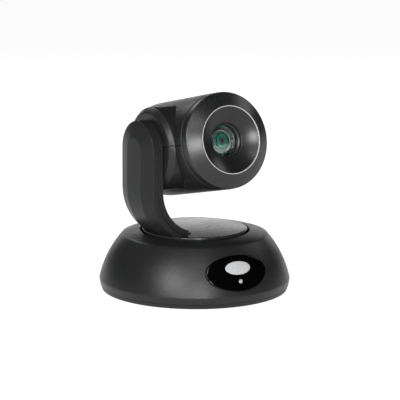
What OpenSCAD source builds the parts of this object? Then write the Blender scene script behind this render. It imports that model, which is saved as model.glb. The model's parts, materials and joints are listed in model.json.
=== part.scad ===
// Desktop pan-tilt-zoom camera: a round base, a turntable with one curved arm, and a tilting barrel head.
// Millimetres, +Z up. The origin is where the pan axis meets the surface that the feet stand on.
// The base's front faces -Y. The turntable and the head are drawn at their rest angles.

/* [Base] */
// Radius of the base at its widest line
base_r = 90; // [88:1:94]
// Height of the widest line above the surface
crease_h = 11.4; // [10:0.2:13]
// Radius of the base's lower edge
base_edge_r = 87.5; // [86:0.5:88]
// Height of the seam between the bottom plate and the shell
seam_h = 5.4; // [5:0.2:7]
// Radius of the crease at the shoulder
shoulder_r = 68.5; // [66:0.5:71]
// Height of the crease at the shoulder
shoulder_h = 53.5; // [52:0.5:55]
// Radius of the bulge of the side, in section
side_bulge_r = 95; // [85:5:120]
// Radius of the round well that the turntable turns in
well_r = 51.7; // [51.2:0.1:52.5]
// Height of the well's edge
well_h = 57.1; // [56.8:0.1:57.6]
// Wall thickness of the base shell
base_wall = 2.6; // [2:0.2:3.2]
// How far the rubber feet stand out below the bottom plate
feet_h = 1.5; // [1.5:0.5:2.5]

/* [Front window] */
// Half width of the oval window
window_a = 31; // [28:0.5:33]
// Half height of the oval window
window_b = 14.9; // [13:0.1:15.5]
// Height of the window's centre
window_h = 31.2; // [30:0.2:33]
// Half width of the blank badge
badge_a = 12.8; // [10:0.2:14]
// Half height of the blank badge
badge_b = 5.5; // [4:0.1:6]
// Height of the badge's centre
badge_h = 35.9; // [35:0.1:37]
// Radius of the status light
led_r = 2; // [1.5:0.1:2.5]
// Height of the status light
led_h = 24.4; // [23:0.1:25]

/* [Turntable and arm] */
// Radius of the turntable disc
disc_r = 49.3; // [48.8:0.1:49.6]
// Height of the turntable's rim
disc_h = 58.7; // [58.5:0.1:59]
// Outer face of the arm, from the pan axis
arm_out = 63; // [62.5:0.1:63.2]
// Inner face of the arm, from the pan axis
arm_in = 52; // [51.9:0.1:52.2]
// Seam between the arm's two halves, from the pan axis
arm_seam = 57.5; // [57:0.1:58]
// Half width of the arm
arm_w = 27.5; // [26.5:0.5:28]
// How far the arm's middle facet stands out
facet_t = 4; // [3:0.5:4.5]
// Half width of the arm's middle facet
facet_w = 12; // [11.5:0.5:13]
// Height of the centre of the arm's bend
bend_h = 101; // [100:0.5:102]
// Distance of the centre of the arm's bend from the pan axis
bend_x = 11.5; // [11:0.1:11.6]

/* [Head] */
// Height of the tilt axis
axis_h = 136.7; // [136:0.1:138]
// Radius of the head's barrel
barrel_r = 44.5; // [43.5:0.1:44.6]
// Front end of the barrel, ahead of the tilt axis
barrel_front = 48.9; // [48:0.1:50]
// Rear end of the barrel, behind the tilt axis
barrel_rear = 58; // [56:0.5:59]
// Radius of the round edge at the rear
rear_round = 16; // [15:0.5:18]
// Distance of the optical axis from the pan axis, towards the arm
head_x = 2; // [1.5:0.1:2.2]
// Radius of the tilt boss
boss_r = 38.8; // [38:0.1:39]
// Outer face of the tilt boss, from the pan axis
boss_x = 51.2; // [51:0.1:51.3]
// Radius of the round recess around the boss
recess_r = 40.7; // [40.4:0.1:41]
// Depth of the recess's floor, from the pan axis
recess_x = 25; // [24:0.5:26]
// Slope of the recess's floor, in degrees
recess_slope = 5; // [3:0.5:6]

/* [Lens] */
// Radius of the bezel's front edge
bezel_r = 44.1; // [43.5:0.1:44.3]
// Bezel's front edge, ahead of the tilt axis
bezel_front = 56.9; // [56.5:0.1:57.5]
// Radius of the lip round the funnel
lip_r = 31; // [30.5:0.1:31.5]
// Lip, ahead of the tilt axis
lip_front = 64; // [63.5:0.1:64.5]
// Radius of the opening in front of the lens
opening_r = 16.3; // [16.2:0.1:16.6]
// Opening, ahead of the tilt axis
opening_front = 56; // [55.8:0.1:56.2]
// Middle of the front glass, ahead of the tilt axis
glass_front = 53.4; // [53:0.1:53.6]
// Radius of the front glass
glass_r = 13.5; // [13:0.1:14]

/* [Rest pose] */
// Turn of the turntable to the camera's left at rest, in degrees
rest_pan = 4.3; // [0:0.1:8]
// Upward tilt of the head at rest, in degrees
rest_tilt = 12.3; // [0:0.1:20]

/* [Drives] */
// Teeth on the big pan gear
pan_teeth = 60; // [60]
// Teeth on the tilt gear
tilt_teeth = 36; // [36]
// Teeth on both pinions
pinion_teeth = 12; // [12]
// Tooth module of both drives
tooth_module = 1; // [1]

/* [Hidden] */
$fn = 96;

// Shared sizes
eps = 0.01;
fit_gap = 0.05;            // radial clearance of a running fit
post_r = 11;               // fixed post that the turntable turns on
post_bore_r = 7;           // cable way through the post
bearing_r = 16;            // outer radius of the pan bearings
hub_r = 20;                // outer radius of the turntable's hub
shaft_r = 9;               // tilt shaft
shaft_bore_r = 6;          // cable way through the tilt shaft
tilt_bearing_r = 14;
wall = 2.2;                // wall of the arm and the head
lens_tube_r = 18;          // outer radius of the lens barrel
lens_bore_r = 16;          // bore that the lens groups slide in
lens_tube_end = -20;       // rear end of the lens barrel, along the optical axis
rod_r = 0.8;               // guide rods
rod_pitch = 13;            // guide rods, from the optical axis
zoom_f = 22;               // rear faces of the two lens carriages, along the optical axis
focus_f = -6;
pan_gear_z = 22;           // underside of the pan gear
gear_t = 4;
tilt_gear_x = 59;          // outer face of the tilt gear, from the pan axis
tilt_gear_t = 3.2;
plate_t = 2.4;             // bottom plate
plate_z = feet_h;
plate_top = plate_z + plate_t;
plate_boss_h = 8;          // bosses that stand on the bottom plate
plate_boss_z = plate_z + plate_boss_h;
insert_r = 5;              // tripod insert and its thread
tripod_r = 3.175;
plate_screw_r = 1.6;       // screws that hold the bottom plate
plate_screw_pitch = 60;    // those screws, from the pan axis
foot_r = 6.2;
foot_pitch = 76;           // feet, from the pan axis
foot_turn = 22;            // angle of the first foot
foot_recess = 0.7;         // depth that the feet sit in the bottom plate
board_z = 9.4;             // underside of the main board
board_t = 1.6;
board_spots = [[32, 22], [32, 62], [-32, 62]];
turret_screw_r = 0.8;      // screws between the pan gear and the turntable
turret_screw_pitch = 18;   // those screws, from the pan axis
hub_screw_r = 1;           // screws between the tilt hub and the head
hub_screw_pitch = 19;      // those screws, from the tilt axis
light_board_y = 74;        // board behind the window, ahead of the pan axis
panel_y = 72;              // rear panel, behind the pan axis
panel_w = 34;              // half width of the rear panel
panel_z = 10;
panel_h = 22;
jack_face = panel_y + 3.5; // faces of the rear sockets
power_x = -26;             // rear sockets, from the middle of the panel
network_x = -9;
video_x = 9.5;
control_x = 26;
selector_h = 17.5;         // selector above the panel's lower edge
knob_shaft_r = 1.5;

// Points along the arc of radius r that bulges outwards from p to q
function arc_centre(p, q, r) =
    let (m = (p + q) / 2, d = q - p, l = norm(d), h = sqrt(r * r - l * l / 4))
    m + [-d[1], d[0]] / l * h;
function arc_points(p, q, r, n) =
    let (c = arc_centre(p, q, r),
         a0 = atan2(p[1] - c[1], p[0] - c[0]),
         a1 = atan2(q[1] - c[1], q[0] - c[0]))
    [for (i = [0:n]) c + r * [cos(a0 + (a1 - a0) * i / n), sin(a0 + (a1 - a0) * i / n)]];
function ellipse_points(a, b, n = 60) = [for (i = [0:n - 1]) [a * cos(360 * i / n), b * sin(360 * i / n)]];
function shift(points, d) = [for (p = points) p + d];

// Outline of the base's side and shoulder, from the seam up to the well, set out by d
function base_outline(d = 0) = concat(
    [[base_r - 1 + d, seam_h]],
    shift(arc_points([base_r, crease_h], [shoulder_r, shoulder_h], side_bulge_r, 9), [d, d / 2]),
    shift(arc_points([shoulder_r - 0.6, shoulder_h + 0.3], [well_r, well_h], 90, 3), [d / 2, d]));

// Involute gear outline, four points to a tooth, with its first tooth on +X
function inv_angle(r, rb) = let (k = sqrt(max(0, r * r / (rb * rb) - 1))) k * 180 / PI - atan(k);
function gear_points(teeth, m, backlash = 0.14) =
    let (rp = teeth * m / 2, rb = rp * cos(20), ra = rp + 0.85 * m, rf = rp - 1.15 * m,
         half = 90 / teeth - backlash / rp * 180 / PI,
         at_root = half + inv_angle(rp, rb) - inv_angle(max(rf, rb), rb),
         at_tip = half + inv_angle(rp, rb) - inv_angle(ra, rb))
    [for (i = [0:teeth - 1], k = [0:3])
        let (a = 360 * i / teeth + [-at_root, -at_tip, at_tip, at_root][k], r = [rf, ra, ra, rf][k])
        [r * cos(a), r * sin(a)]];

pan_centres = (pan_teeth + pinion_teeth) * tooth_module / 2 + 0.1;
tilt_centres = (tilt_teeth + pinion_teeth) * tooth_module / 2 + 0.1;
pan_pinion_angle = 150;    // where the pan pinion stands round the post

module at_pan() { rotate([0, 0, rest_pan]) children(); }
module at_tilt() { at_pan() translate([0, 0, axis_h]) rotate([-rest_tilt, 0, 0]) children(); }
// Things drawn along +Z in here lie along the optical axis, front at +Z
module at_lens() { at_tilt() translate([-head_x, 0, 0]) rotate([90, 0, 0]) children(); }
// Things drawn along +Z in here lie along the tilt axis, pointing out through the arm
module at_boss() { at_tilt() rotate([0, -90, 0]) children(); }
module tube(r_out, r_in, h) {
    difference() {
        cylinder(r = r_out, h = h);
        translate([0, 0, -1]) cylinder(r = r_in, h = h + 2);
    }
}
module round_box(size, r, h) {
    linear_extrude(h) union() {
        square([size[0], size[1] - 2 * r], center = true);
        square([size[0] - 2 * r, size[1]], center = true);
        for (x = [-1, 1], y = [-1, 1])
            translate([x * (size[0] / 2 - r), y * (size[1] / 2 - r)]) circle(r = r);
    }
}

// ---------------------------------------------------------------- base

// Prism of the oval, from inside the base to well in front of it
module oval_prism(a, b, h, grow = 0, near = 60) {
    translate([0, -near, h]) rotate([90, 0, 0])
        linear_extrude(40) polygon(ellipse_points(a + grow, b + grow));
}
module base_solid(d = 0) {
    rotate_extrude() polygon(concat([[0, seam_h]], base_outline(d), [[0, well_h]]));
}
module base_shell() color([0.25, 0.26, 0.28]) {
    inner = shift(arc_points([base_r, crease_h], [shoulder_r, shoulder_h], side_bulge_r, 9),
        [-base_wall, -base_wall / 2]);
    difference() {
        rotate_extrude() polygon(concat(
            base_outline(),
            [[well_r, 49], [well_r + 2, 49], [well_r + 2, well_h - 3.4]],
            [for (i = [len(inner) - 1:-1:0]) inner[i]],
            [[base_r - 1 - base_wall, seam_h]]));
        oval_prism(window_a, window_b, window_h, 0.15);
        translate([-panel_w, panel_y, panel_z]) cube([2 * panel_w, 30, panel_h]);
    }
    // Columns that the bottom plate is screwed to
    for (a = [45:90:315]) rotate([0, 0, a]) translate([plate_screw_pitch, 0, plate_boss_z]) difference() {
        cylinder(r = 4, h = shoulder_h + 0.5 - plate_boss_z);
        translate([0, 0, -1]) cylinder(r = plate_screw_r, h = 10);
    }
    // Shroud round the rear sockets
    intersection() {
        base_solid(-1);
        difference() {
            translate([-panel_w - 2, panel_y - 3, panel_z - 2]) cube([2 * panel_w + 4, 30, panel_h + 4]);
            translate([-panel_w, panel_y - 4, panel_z]) cube([2 * panel_w, 40, panel_h]);
        }
    }
}
module bottom_plate() color([0.12, 0.12, 0.13]) {
    difference() {
        union() {
            rotate_extrude() polygon([
                [0, plate_z], [base_edge_r, plate_z], [base_r - 1.2, seam_h - 0.3],
                [base_r - base_wall - 1.4, seam_h - 0.3], [base_r - base_wall - 1.4, plate_top],
                [0, plate_top]]);
            for (a = [45:90:315]) rotate([0, 0, a]) translate([plate_screw_pitch, 0, plate_z])
                cylinder(r = 4, h = plate_boss_h);
            translate([0, 0, plate_z]) cylinder(r = 9.5, h = plate_boss_h);
        }
        translate([0, 0, -1]) cylinder(r = insert_r, h = 30);
        for (a = [45:90:315]) rotate([0, 0, a]) translate([plate_screw_pitch, 0, -1])
            cylinder(r = plate_screw_r, h = 20);
        for (a = [0:90:270]) rotate([0, 0, a]) translate([35, 0, -1]) cylinder(r = 1.65, h = 20);
        at_feet() translate([0, 0, -1]) cylinder(r = foot_r, h = 1 + plate_z + foot_recess);
    }
}
module at_feet() {
    for (a = [0:90:270]) rotate([0, 0, a + foot_turn]) translate([foot_pitch, 0, 0]) children();
}
module rubber_feet() color([0.06, 0.06, 0.06]) {
    at_feet() rotate_extrude() polygon([
        [0, 0], [foot_r - 0.6, 0], [foot_r, plate_z],
        [foot_r, plate_z + foot_recess], [0, plate_z + foot_recess]]);
}
module plate_screws() color([0.6, 0.6, 0.62]) {
    for (a = [45:90:315]) rotate([0, 0, a]) translate([plate_screw_pitch, 0, plate_z - 0.6]) difference() {
        union() {
            cylinder(r = 3, h = 0.6);
            cylinder(r = plate_screw_r, h = 17);
        }
        translate([0, 0, -eps]) cylinder(r = 1.2, h = 0.4, $fn = 6);
    }
}
module tripod_insert() color([0.78, 0.66, 0.35]) {
    translate([0, 0, plate_z]) tube(insert_r, tripod_r, plate_boss_h);
}
module front_window() color([0.02, 0.02, 0.025]) {
    intersection() {
        difference() {
            base_solid(0.3);
            base_solid(-2);
        }
        difference() {
            oval_prism(window_a, window_b, window_h);
            translate([0, -60, led_h]) rotate([90, 0, 0]) cylinder(r = led_r + 0.1, h = 60);
        }
    }
}
module window_badge() color([0.78, 0.79, 0.8]) {
    intersection() {
        difference() {
            base_solid(1);
            base_solid(0.3);
        }
        oval_prism(badge_a, badge_b, badge_h);
    }
}
module status_led() color([0.75, 0.77, 0.8]) {
    intersection() {
        base_solid(0.6);
        translate([0, -light_board_y, led_h]) rotate([90, 0, 0]) cylinder(r = led_r, h = 30);
    }
}
module ir_receiver() color([0.1, 0.1, 0.12]) {
    translate([9, -light_board_y, led_h]) rotate([90, 0, 0]) round_box([6, 7], 1.5, 5);
    translate([-7, -light_board_y, plate_top]) cube([22, 2, led_h + 6 - plate_top]);
}
module io_panel() color([0.16, 0.17, 0.18]) {
    difference() {
        translate([-panel_w + 0.1, panel_y - 1.6, panel_z + 0.1])
            cube([2 * panel_w - 0.2, 1.6, panel_h - 0.2]);
        translate([power_x, panel_y + 1, panel_z + 9]) rotate([90, 0, 0]) cylinder(r = 4.6, h = 5);
        translate([network_x, panel_y, panel_z + 9]) cube([16.4, 6, 13.9], center = true);
        translate([video_x, panel_y, panel_z + 9]) cube([15.4, 6, 6.4], center = true);
        translate([control_x, panel_y + 1, panel_z + 7]) rotate([90, 0, 0]) cylinder(r = 4.8, h = 5);
        translate([video_x, panel_y + 1, panel_z + selector_h]) rotate([90, 0, 0]) cylinder(r = 3.4, h = 5);
    }
}
module dc_inlet() color([0.08, 0.08, 0.08]) {
    translate([power_x, jack_face, panel_z + 9]) rotate([90, 0, 0]) rotate_extrude() polygon([
        [0, 2], [1, 2], [1, 9], [2.9, 9], [2.9, 0], [4.5, 0], [4.5, 11], [0, 11]]);
}
module network_jack() color([0.7, 0.71, 0.72]) {
    translate([network_x, jack_face, panel_z + 9]) rotate([90, 0, 0]) difference() {
        translate([-8, -6.75, 0]) cube([16, 13.5, 14]);
        translate([-6, -3.5, -1]) cube([12, 7.5, 11]);
        translate([-3, -5.5, -1]) cube([6, 3, 11]);
    }
}
module video_jack() color([0.7, 0.71, 0.72]) {
    translate([video_x, jack_face, panel_z + 9]) rotate([90, 0, 0]) difference() {
        translate([-7.5, -3, 0]) cube([15, 6, 11]);
        translate([-6.8, -2.2, -1]) cube([13.6, 4.4, 9]);
    }
}
module control_jack() color([0.1, 0.1, 0.1]) {
    translate([control_x, jack_face, panel_z + 7]) rotate([90, 0, 0]) difference() {
        cylinder(r = 4.7, h = 10);
        translate([0, 0, -1]) cylinder(r = 3.7, h = 6);
    }
}
module selector_body() color([0.1, 0.1, 0.1]) {
    translate([video_x, panel_y - 1.6, panel_z + selector_h]) rotate([90, 0, 0])
        tube(4.4, knob_shaft_r + fit_gap, 5);
}
module selector_knob() color([0.85, 0.85, 0.83]) {
    translate([video_x, panel_y + 1.2, panel_z + selector_h]) rotate([90, 0, 0]) difference() {
        union() {
            cylinder(r = 3.1, h = 2.6);
            cylinder(r = knob_shaft_r, h = 7);
        }
        translate([-2.6, -0.4, -1]) cube([5.2, 0.8, 1.7]);
    }
}
module main_board() color([0.06, 0.3, 0.16]) {
    difference() {
        translate([-36, 16, board_z]) cube([72, 52, board_t]);
        for (p = board_spots) translate([p[0], p[1], 5]) cylinder(r = 1.6, h = 10);
        // Way for the pan motor and the hub
        translate([pan_centres * cos(pan_pinion_angle), pan_centres * sin(pan_pinion_angle), 9])
            cylinder(r = 23, h = 4);
        cylinder(r = 22, h = 20);
    }
}
module board_posts() color([0.75, 0.72, 0.6]) {
    for (p = board_spots) translate([p[0], p[1], plate_top]) union() {
        cylinder(r = 2.6, h = board_z - plate_top);
        cylinder(r = 1.55, h = 9);
    }
}
module pan_post() color([0.55, 0.56, 0.58]) {
    translate([0, 0, plate_boss_z]) difference() {
        union() {
            cylinder(r = 16, h = 3);
            cylinder(r = post_r, h = 41.5);
        }
        translate([0, 0, -1]) cylinder(r = post_bore_r, h = 60);
    }
}
module pan_bearings() color([0.72, 0.73, 0.75]) {
    for (z = [28, 43]) translate([0, 0, z]) tube(bearing_r, post_r, 6);
}
module at_pan_pinion() {
    rotate([0, 0, pan_pinion_angle]) translate([pan_centres, 0, 0]) children();
}
module pan_motor() color([0.2, 0.2, 0.22]) {
    at_pan_pinion() difference() {
        union() {
            translate([0, 0, plate_top]) round_box([28, 28], 5, 15);
            translate([0, 0, plate_top]) cylinder(r = 9, h = 16.4);
        }
        translate([0, 0, plate_top + 4]) cylinder(r = 2.5 + fit_gap, h = 20);
    }
}
module pan_pinion() color([0.8, 0.7, 0.42]) {
    at_pan_pinion() union() {
        translate([0, 0, pan_gear_z - 1]) rotate([0, 0, 180 + 180 / pinion_teeth])
            linear_extrude(gear_t + 2) polygon(gear_points(pinion_teeth, tooth_module));
        translate([0, 0, plate_top + 5]) cylinder(r = 2.5, h = pan_gear_z);
    }
}

// ---------------------------------------------------------------- turntable and arm

module turntable() color([0.3, 0.31, 0.33]) {
    at_pan() difference() {
        union() {
            rotate_extrude() polygon([
                [0, disc_h - 2.6], [disc_r - 0.4, disc_h - 2.6], [disc_r, disc_h - 2.2],
                [disc_r, disc_h - 0.4], [disc_r - 0.4, disc_h], [0, disc_h]]);
            translate([0, 0, 27]) cylinder(r = hub_r, h = disc_h - 28);
        }
        translate([0, 0, 20]) cylinder(r = bearing_r + fit_gap, h = 33);
        translate([0, 0, 20]) cylinder(r = 9, h = 38);
        // Cable way into the arm's foot
        translate([-35, 0, 50]) cylinder(r = 4, h = 20);
        at_turret_screws() translate([0, 0, 20]) cylinder(r = turret_screw_r, h = 14);
    }
}
module at_turret_screws() {
    for (a = [0:120:240]) rotate([0, 0, a + 30]) translate([turret_screw_pitch, 0, 0]) children();
}
module pan_gear() color([0.88, 0.87, 0.82]) {
    at_pan() translate([0, 0, pan_gear_z]) difference() {
        union() {
            rotate([0, 0, pan_pinion_angle - rest_pan])
                linear_extrude(gear_t) polygon(gear_points(pan_teeth, tooth_module));
            cylinder(r = hub_r, h = 5);
        }
        translate([0, 0, -1]) cylinder(r = bearing_r + 0.6, h = 20);
        at_turret_screws() translate([0, 0, -1]) cylinder(r = turret_screw_r, h = 14);
    }
}
module pan_gear_screws() color([0.6, 0.6, 0.62]) {
    at_pan() at_turret_screws() translate([0, 0, pan_gear_z - 1]) union() {
        cylinder(r = 1.3, h = 1);
        cylinder(r = turret_screw_r, h = 11);
    }
}

// Outline in the XZ plane of a strip of the arm between two distances from the pan axis:
// straight above the bend, round below it, and long enough to pass below the turntable's top
bend_end = 72;
bend_steps = 9;
function bend_point(x, a) = [-bend_x - (x - bend_x) * cos(a), bend_h - (x - bend_x) * sin(a)];
function strip_points(near, far, top) = concat(
    [[-far, top]], [for (i = [0:bend_steps]) bend_point(far, bend_end * i / bend_steps)],
    [for (i = [bend_steps:-1:0]) bend_point(near, bend_end * i / bend_steps)], [[-near, top]]);
module arm_strip(near, far, w, top) {
    difference() {
        rotate([90, 0, 0]) translate([0, 0, -w]) linear_extrude(2 * w)
            polygon(strip_points(near, far, top));
        translate([-70, -50, disc_h - 20]) cube([70, 100, 20]);
    }
}

// Outer face of the arm at a distance r from the middle of its facet, and the ring of points at one height
function face_x(r) = arm_out + facet_t * max(0, min(1, (arm_w - r) / (arm_w - facet_w)));
function ring_points(rise, back) =
    let (w = sqrt(arm_w * arm_w - rise * rise),
         f = max(0.15 * w, sqrt(max(0, facet_w * facet_w - rise * rise))),
         ys = [-w, -(w + f) / 2, -f, f, (w + f) / 2, w])
    concat([for (y = ys) [face_x(norm([y, rise])), y]], [[back, w], [back, -w]]);
cap_steps = 7;
function bend_ring(a) =
    [for (p = ring_points(0, arm_seam)) let (q = bend_point(p[0], a)) [q[0], p[1], q[1]]];
function cap_ring(a, back) = let (rise = arm_w * sin(a))
    [for (p = ring_points(rise, back)) [-p[0], p[1], axis_h + rise]];
module arm_casing() {
    rings = concat(
        [for (i = [bend_steps:-1:0]) bend_ring(bend_end * i / bend_steps)],
        [cap_ring(0, arm_seam)],
        [for (i = [0:cap_steps]) cap_ring(max(0.1, 12 * i), arm_in)]);
    n = len(rings[0]);
    last = (len(rings) - 1) * n;
    polyhedron([for (r = rings, p = r) p], concat(
        [[for (j = [n - 1:-1:0]) j]],
        [for (i = [0:len(rings) - 2], j = [0:n - 1])
            [i * n + j, i * n + (j + 1) % n, (i + 1) * n + (j + 1) % n, (i + 1) * n + j]],
        [[for (j = [0:n - 1]) last + j]]), convexity = 6);
}
module along_arm_axis(x, h, r) {
    translate([-x, 0, axis_h]) rotate([0, 90, 0]) cylinder(r = r, h = h);
}
arm_screw_r = 0.9;
arm_screw_head_r = 1.6;
arm_screw_spots = [[-8, 22], [-8, -22], [-33, 22], [-33, -22]];
module arm_screw_holes(x, h, r) {
    for (p = arm_screw_spots) translate([-x, p[1], axis_h + p[0]])
        rotate([0, 90, 0]) cylinder(r = r, h = h);
}
gear_room_r = tilt_teeth * tooth_module / 2 + 1.6;
module arm_rooms() {
    along_arm_axis(60.2, 4.7, gear_room_r);
    along_arm_axis(56, 6, tilt_bearing_r);
    translate([-65.1, 0, axis_h - tilt_centres]) rotate([0, 90, 0]) cylinder(r = 11.2, h = 9.6);
}
module arm_shell() color([0.27, 0.28, 0.3]) {
    at_pan() difference() {
        arm_casing();
        translate([-90, -50, disc_h - 20]) cube([80, 100, 20]);
        arm_rooms();
        // Channel for the harness, open to the seam
        arm_strip(arm_seam - 1, arm_seam + 3.8, 5, bend_h + 2);
        arm_screw_holes(62, 6, arm_screw_r);
    }
}
module arm_cover() color([0.27, 0.28, 0.3]) {
    at_pan() difference() {
        union() {
            arm_strip(arm_in, arm_seam, arm_w, axis_h - 0.1);
            // Step where the cover meets the turntable
            translate([-27, -arm_w + 3, disc_h]) cube([7, 2 * arm_w - 6, 1.2]);
        }
        arm_strip(arm_in + wall, arm_seam + 1, arm_w - 9.7, bend_h + 1);
        arm_rooms();
        arm_screw_holes(62, 20, arm_screw_r);
        arm_screw_holes(53, 5, arm_screw_head_r);
    }
}
module arm_harness() color([0.05, 0.05, 0.05]) {
    at_pan() arm_strip(arm_seam + 1.5, arm_seam + 3.1, 3, bend_h + 0.2);
}
module arm_screws() color([0.6, 0.6, 0.62]) {
    at_pan() for (p = arm_screw_spots) translate([-61, p[1], axis_h + p[0]])
        rotate([0, 90, 0]) union() {
            cylinder(r = arm_screw_r, h = 8.8);
            translate([0, 0, 8]) cylinder(r = arm_screw_head_r, h = 0.8);
        }
}
module tilt_bearing() color([0.72, 0.73, 0.75]) {
    at_pan() translate([-55.4, 0, axis_h]) rotate([0, 90, 0]) tube(tilt_bearing_r, shaft_r + fit_gap, 3);
}
module at_tilt_pinion() {
    at_pan() translate([-tilt_gear_x, 0, axis_h - tilt_centres]) rotate([0, 90, 0]) children();
}
module tilt_motor() color([0.2, 0.2, 0.22]) {
    at_tilt_pinion() translate([0, 0, -6]) difference() {
        cylinder(r = 11, h = 5.2);
        translate([0, 0, 1]) cylinder(r = 1.5 + fit_gap, h = 6);
    }
}
module tilt_pinion() color([0.8, 0.7, 0.42]) {
    at_tilt_pinion() union() {
        rotate([0, 0, 180 + 180 / pinion_teeth]) linear_extrude(tilt_gear_t)
            polygon(gear_points(pinion_teeth, tooth_module));
        translate([0, 0, -4]) cylinder(r = 1.5, h = 5);
    }
}

// ---------------------------------------------------------------- head

module tilt_gear() color([0.88, 0.87, 0.82]) {
    at_pan() translate([-tilt_gear_x, 0, axis_h]) rotate([0, 90, 0]) difference() {
        linear_extrude(tilt_gear_t) polygon(gear_points(tilt_teeth, tooth_module));
        translate([0, 0, -1]) cylinder(r = shaft_r - 2, h = 8);
    }
}
module at_hub_screws() {
    for (a = [45:90:315]) rotate([0, 0, a]) translate([hub_screw_pitch, 0, 0]) children();
}
module hub_screw_holes(h) {
    at_hub_screws() translate([0, 0, boss_hole_z]) cylinder(r = hub_screw_r, h = h);
}
module tilt_hub() color([0.55, 0.56, 0.58]) {
    at_boss() difference() {
        union() {
            translate([0, 0, boss_x - wall - 3]) cylinder(r = 24, h = 3);
            translate([0, 0, boss_x - wall - 3]) cylinder(r = shaft_r, h = 55.8 - boss_x + wall + 3);
            translate([0, 0, 50]) cylinder(r = shaft_r - 2, h = tilt_gear_x - 50);
        }
        translate([0, 0, 30]) cylinder(r = shaft_bore_r, h = 40);
        hub_screw_holes(20);
    }
}
function barrel_outline(inset) = concat(
    [[0, -barrel_rear + inset]],
    arc_points([barrel_r - rear_round, -barrel_rear + inset], [barrel_r - inset, -barrel_rear + rear_round],
        rear_round - inset, 6),
    [[barrel_r - inset, barrel_front]],
    [[0, barrel_front]]);
module recess_cut(grow = 0) {
    at_tilt() translate([-recess_x + grow, 0, 0]) rotate([0, 0, -recess_slope]) rotate([0, -90, 0])
        linear_extrude(60) union() {
            circle(r = recess_r + grow);
            translate([-recess_r + 2 - grow, 0]) square([2 * (recess_r - 2 + grow), 80]);
        }
}
boss_side_x = 47.1;        // end of the boss's straight side, from the pan axis
boss_bevel = 4.6;
boss_hole_z = 40;
module boss_solid(inset) {
    at_boss() union() {
        translate([0, 0, recess_x - 8]) cylinder(r = boss_r - inset, h = boss_side_x - recess_x + 8);
        translate([0, 0, boss_side_x - eps]) cylinder(
            r1 = boss_r - inset, r2 = boss_r - boss_bevel - inset, h = boss_x - boss_side_x - inset + eps);
    }
}
module head_outer() {
    difference() {
        at_lens() rotate_extrude() polygon(barrel_outline(0));
        recess_cut();
    }
    boss_solid(0);
}
module head_inner() {
    difference() {
        at_lens() union() {
            rotate_extrude() polygon(barrel_outline(wall));
            translate([0, 0, barrel_front - 1]) cylinder(r = barrel_r - wall, h = 2);
        }
        recess_cut(wall);
    }
    boss_solid(wall);
}
module head_shell() {
    difference() {
        head_outer();
        head_inner();
        at_boss() translate([0, 0, boss_hole_z]) cylinder(r = 11, h = 20);
        at_boss() hub_screw_holes(boss_x - 0.6 - boss_hole_z);
    }
}
module head_half(side) {
    at_tilt() translate([-80, -80, side > 0 ? 0.05 : -80.05]) cube([160, 160, 80]);
}
module head_upper_shell() color([0.29, 0.3, 0.32]) {
    intersection() {
        head_shell();
        head_half(1);
    }
}
module head_lower_shell() color([0.29, 0.3, 0.32]) {
    intersection() {
        head_shell();
        head_half(-1);
    }
}
module head_screws() color([0.6, 0.6, 0.62]) {
    at_boss() at_hub_screws() translate([0, 0, boss_x - wall - 5]) union() {
        cylinder(r = hub_screw_r, h = 6.6);
        cylinder(r = 1.9, h = 2);
    }
}
module bezel_ring() color([0.25, 0.26, 0.27]) {
    at_lens() rotate_extrude() polygon([
        [barrel_r - wall - 0.1, barrel_front - 5], [barrel_r - wall - 0.1, barrel_front + 0.6],
        [barrel_r, barrel_front + 0.6], [bezel_r, bezel_front], [lip_r + 0.5, lip_front - 0.2],
        [lip_r, lip_front], [lip_r - 0.6, lip_front], [lip_r - 0.8, lip_front - 3],
        [bezel_r - 3, bezel_front - 2], [barrel_r - wall - 2, barrel_front - 5]]);
}
module lens_funnel() color([0.2, 0.2, 0.21]) {
    at_lens() rotate_extrude() polygon([
        [lip_r - 0.9, lip_front - 0.8], [opening_r, opening_front], [opening_r, opening_front - 1.2],
        [lens_tube_r + 0.4, opening_front - 1.2], [lens_tube_r + 0.4, opening_front + 0.4],
        [lip_r - 0.9, lip_front - 2.6]]);
}
function glass_points(r, f, sag, t) = concat(
    [[0, f - t]], [[r, f - t]],
    [for (i = [0:6]) let (x = r * (6 - i) / 6) [x, f - sag * pow(x / r, 2)]]);
module front_glass() color([0.1, 0.25, 0.22, 0.6]) {
    at_lens() rotate_extrude() polygon(glass_points(glass_r, glass_front, 1.5, 5));
}
module lens_retainer() color([0.05, 0.05, 0.06]) {
    at_lens() translate([0, 0, glass_front - 3.4]) tube(lens_bore_r, glass_r, 4.4);
}
module lens_barrel() color([0.12, 0.12, 0.13]) {
    at_lens() difference() {
        rotate_extrude() polygon([
            [8, lens_tube_end], [lens_tube_r, lens_tube_end], [lens_tube_r, opening_front - 1.2],
            [lens_bore_r, opening_front - 1.2], [lens_bore_r, lens_tube_end + 2.5],
            [8, lens_tube_end + 2.5]]);
        for (s = [-1, 1]) translate([s * rod_pitch, 0, lens_tube_end - 1]) cylinder(r = rod_r, h = 5);
    }
}
module guide_rods() color([0.8, 0.8, 0.82]) {
    at_lens() for (s = [-1, 1]) translate([s * rod_pitch, 0, lens_tube_end + 1])
        cylinder(r = rod_r, h = 67);
}
module barrel_saddle() color([0.5, 0.51, 0.52]) {
    at_lens() difference() {
        intersection() {
            union() {
                for (f = [-9, 29]) translate([-16, -50, f]) cube([32, 48, 5]);
                translate([-16, -50, -9]) cube([32, 14, 43]);
            }
            translate([0, 0, -20]) cylinder(r = barrel_r - wall, h = 80);
        }
        translate([0, 0, -20]) cylinder(r = lens_tube_r, h = 80);
    }
}
module carriage(f, h) {
    at_lens() translate([0, 0, f]) difference() {
        cylinder(r = lens_bore_r - 0.3, h = h);
        translate([0, 0, -1]) cylinder(r = 10, h = h + 2);
        for (s = [-1, 1]) translate([s * rod_pitch, 0, -1]) cylinder(r = rod_r + fit_gap, h = h + 2);
    }
}
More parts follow.
